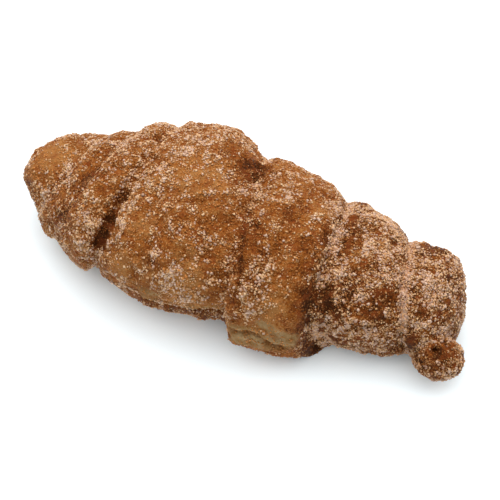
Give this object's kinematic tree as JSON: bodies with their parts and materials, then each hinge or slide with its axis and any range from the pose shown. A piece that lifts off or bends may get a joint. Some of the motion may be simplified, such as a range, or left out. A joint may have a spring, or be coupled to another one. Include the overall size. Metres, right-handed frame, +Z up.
{
  "type": "sugared fried pastry",
  "caption": "Wound crescent-style fried pastry dusted with sugar, tapered to both ends, with a small knob at one end. It lies on a flat underside.",
  "frame": {"origin": "centre of the pastry's box on the surface it lies on", "axes": "+X along the pastry towards the blunt end with the knob, -Y towards the side with the pale band, +Z up"},
  "size_m": [0.1518, 0.0662, 0.047],
  "materials": {
    "crust": "matte",
    "sugar": "satin"
  },
  "bodies": {
    "root": {"pastry": "crust"}
  },
  "joints": []
}
